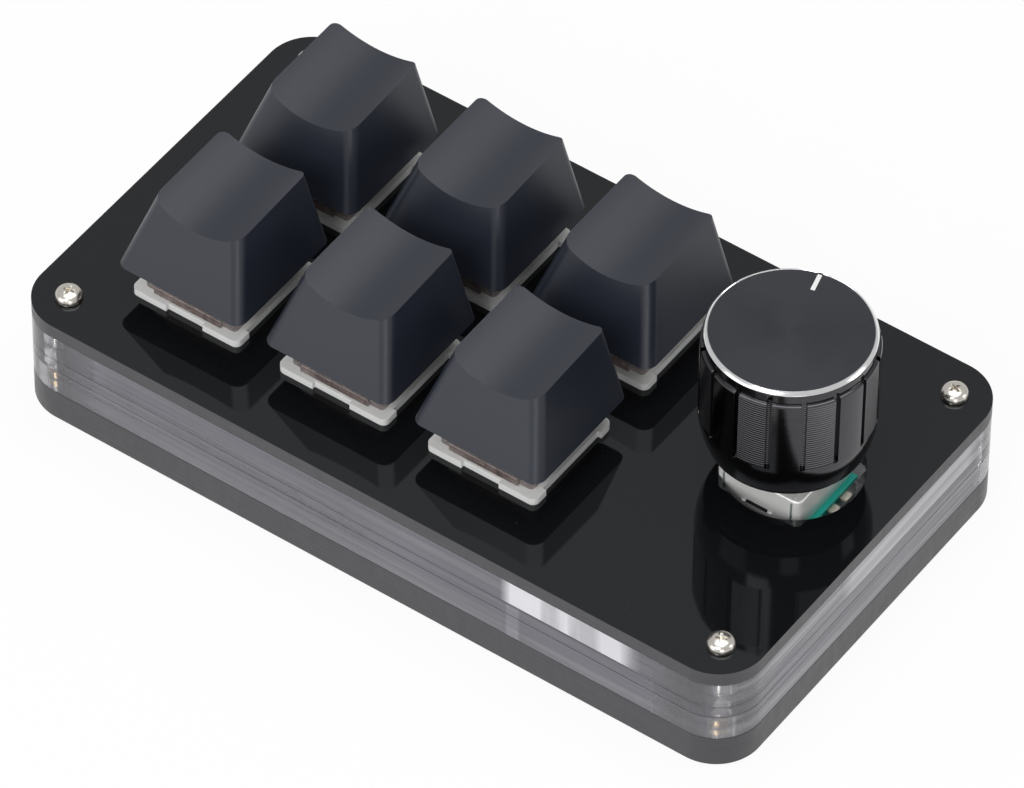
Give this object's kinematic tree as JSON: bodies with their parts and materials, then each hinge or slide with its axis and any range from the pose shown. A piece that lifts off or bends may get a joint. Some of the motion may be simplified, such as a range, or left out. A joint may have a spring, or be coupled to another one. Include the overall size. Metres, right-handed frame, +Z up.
{
  "type": "macro keypad",
  "caption": "Small desk keypad: rows of sprung keycaps on switches and a turning, pushing knob, in a screwed stack of black and clear sheets.",
  "frame": {"origin": "On the surface the case stands on, under the middle of the case.", "axes": "+X runs along the case to the knob's end, +Y from the front to the back edge, +Z up."},
  "size_m": [0.1044, 0.0586, 0.0391],
  "materials": {
    "black_acrylic": "polished black sheet with cut edges",
    "clear_acrylic": "clear cast sheet with machined edges",
    "nickel": "nickel plated steel",
    "brass": "plain brass",
    "board": "white solder mask on glass fibre",
    "chip": "moulded black epoxy",
    "chip_parts": "ceramic chip parts",
    "socket_steel": "stamped steel",
    "contact_metal": "copper alloy",
    "teal_plastic": "moulded phenolic",
    "cover_steel": "plated sheet steel",
    "rotor_plastic": "moulded acetal",
    "shaft_metal": "turned aluminium",
    "core_plastic": "moulded black plastic",
    "black_anodised": "black anodised, turned, with a bright cut chamfer",
    "milky_plastic": "moulded milky nylon",
    "clear_housing": "clear moulded plastic",
    "stem_plastic": "moulded acetal",
    "spring_steel": "spring wire",
    "cap_plastic": "fine matte moulded plastic"
  },
  "bodies": {
    "case": {"top_plate": "black_acrylic", "upper_frame": "clear_acrylic", "middle_frame": "clear_acrylic", "lower_frame": "clear_acrylic", "bottom_plate": "black_acrylic", "case_screws": "nickel", "threaded_inserts": "brass", "circuit_board": "board", "controller_chip": "chip", "board_parts": "chip_parts", "usb_shell": "socket_steel", "usb_tongue": "chip", "switch_base_1": "milky_plastic", "switch_base_2": "milky_plastic", "switch_base_3": "milky_plastic", "switch_base_4": "milky_plastic", "switch_base_5": "milky_plastic", "switch_base_6": "milky_plastic", "switch_top_1": "clear_housing", "switch_top_2": "clear_housing", "switch_top_3": "clear_housing", "switch_top_4": "clear_housing", "switch_top_5": "clear_housing", "switch_top_6": "clear_housing", "spring_1": "spring_steel", "spring_2": "spring_steel", "spring_3": "spring_steel", "spring_4": "spring_steel", "spring_5": "spring_steel", "spring_6": "spring_steel", "switch_contacts": "contact_metal", "encoder_base": "teal_plastic", "encoder_bracket": "cover_steel", "encoder_bushing": "cover_steel", "encoder_dome": "contact_metal", "encoder_pins": "contact_metal"},
    "key_1": {"stem_1": "stem_plastic", "keycap_1": "cap_plastic"},
    "key_2": {"stem_2": "stem_plastic", "keycap_2": "cap_plastic"},
    "key_3": {"stem_3": "stem_plastic", "keycap_3": "cap_plastic"},
    "key_4": {"stem_4": "stem_plastic", "keycap_4": "cap_plastic"},
    "key_5": {"stem_5": "stem_plastic", "keycap_5": "cap_plastic"},
    "key_6": {"stem_6": "stem_plastic", "keycap_6": "cap_plastic"},
    "rotor": {"encoder_rotor": "rotor_plastic"},
    "knob": {"encoder_shaft": "shaft_metal", "knob_insert": "core_plastic", "knob_shell": "black_anodised"}
  },
  "joints": [
    {"name": "key_1_press", "type": "slide", "parent": "case", "child": "key_1", "axis": [0, 0, -1], "range_m": [0, 0.004], "stiffness_N_per_m": 60, "springref_m": -0.006, "deforming": ["spring_1"]},
    {"name": "key_2_press", "type": "slide", "parent": "case", "child": "key_2", "axis": [0, 0, -1], "range_m": [0, 0.004], "stiffness_N_per_m": 60, "springref_m": -0.006, "deforming": ["spring_2"]},
    {"name": "key_3_press", "type": "slide", "parent": "case", "child": "key_3", "axis": [0, 0, -1], "range_m": [0, 0.004], "stiffness_N_per_m": 60, "springref_m": -0.006, "deforming": ["spring_3"]},
    {"name": "key_4_press", "type": "slide", "parent": "case", "child": "key_4", "axis": [0, 0, -1], "range_m": [0, 0.004], "stiffness_N_per_m": 60, "springref_m": -0.006, "deforming": ["spring_4"]},
    {"name": "key_5_press", "type": "slide", "parent": "case", "child": "key_5", "axis": [0, 0, -1], "range_m": [0, 0.004], "stiffness_N_per_m": 60, "springref_m": -0.006, "deforming": ["spring_5"]},
    {"name": "key_6_press", "type": "slide", "parent": "case", "child": "key_6", "axis": [0, 0, -1], "range_m": [0, 0.004], "stiffness_N_per_m": 60, "springref_m": -0.006, "deforming": ["spring_6"]},
    {"name": "knob_turn", "type": "hinge", "parent": "case", "child": "rotor", "pos_m": [0.0374, 0.0033, 0.0391], "axis": [0, 0, 1], "continuous": true},
    {"name": "knob_push", "type": "slide", "parent": "rotor", "child": "knob", "axis": [0, 0, -1], "range_m": [0, 0.0005], "stiffness_N_per_m": 2000, "springref_m": -0.0005}
  ]
}
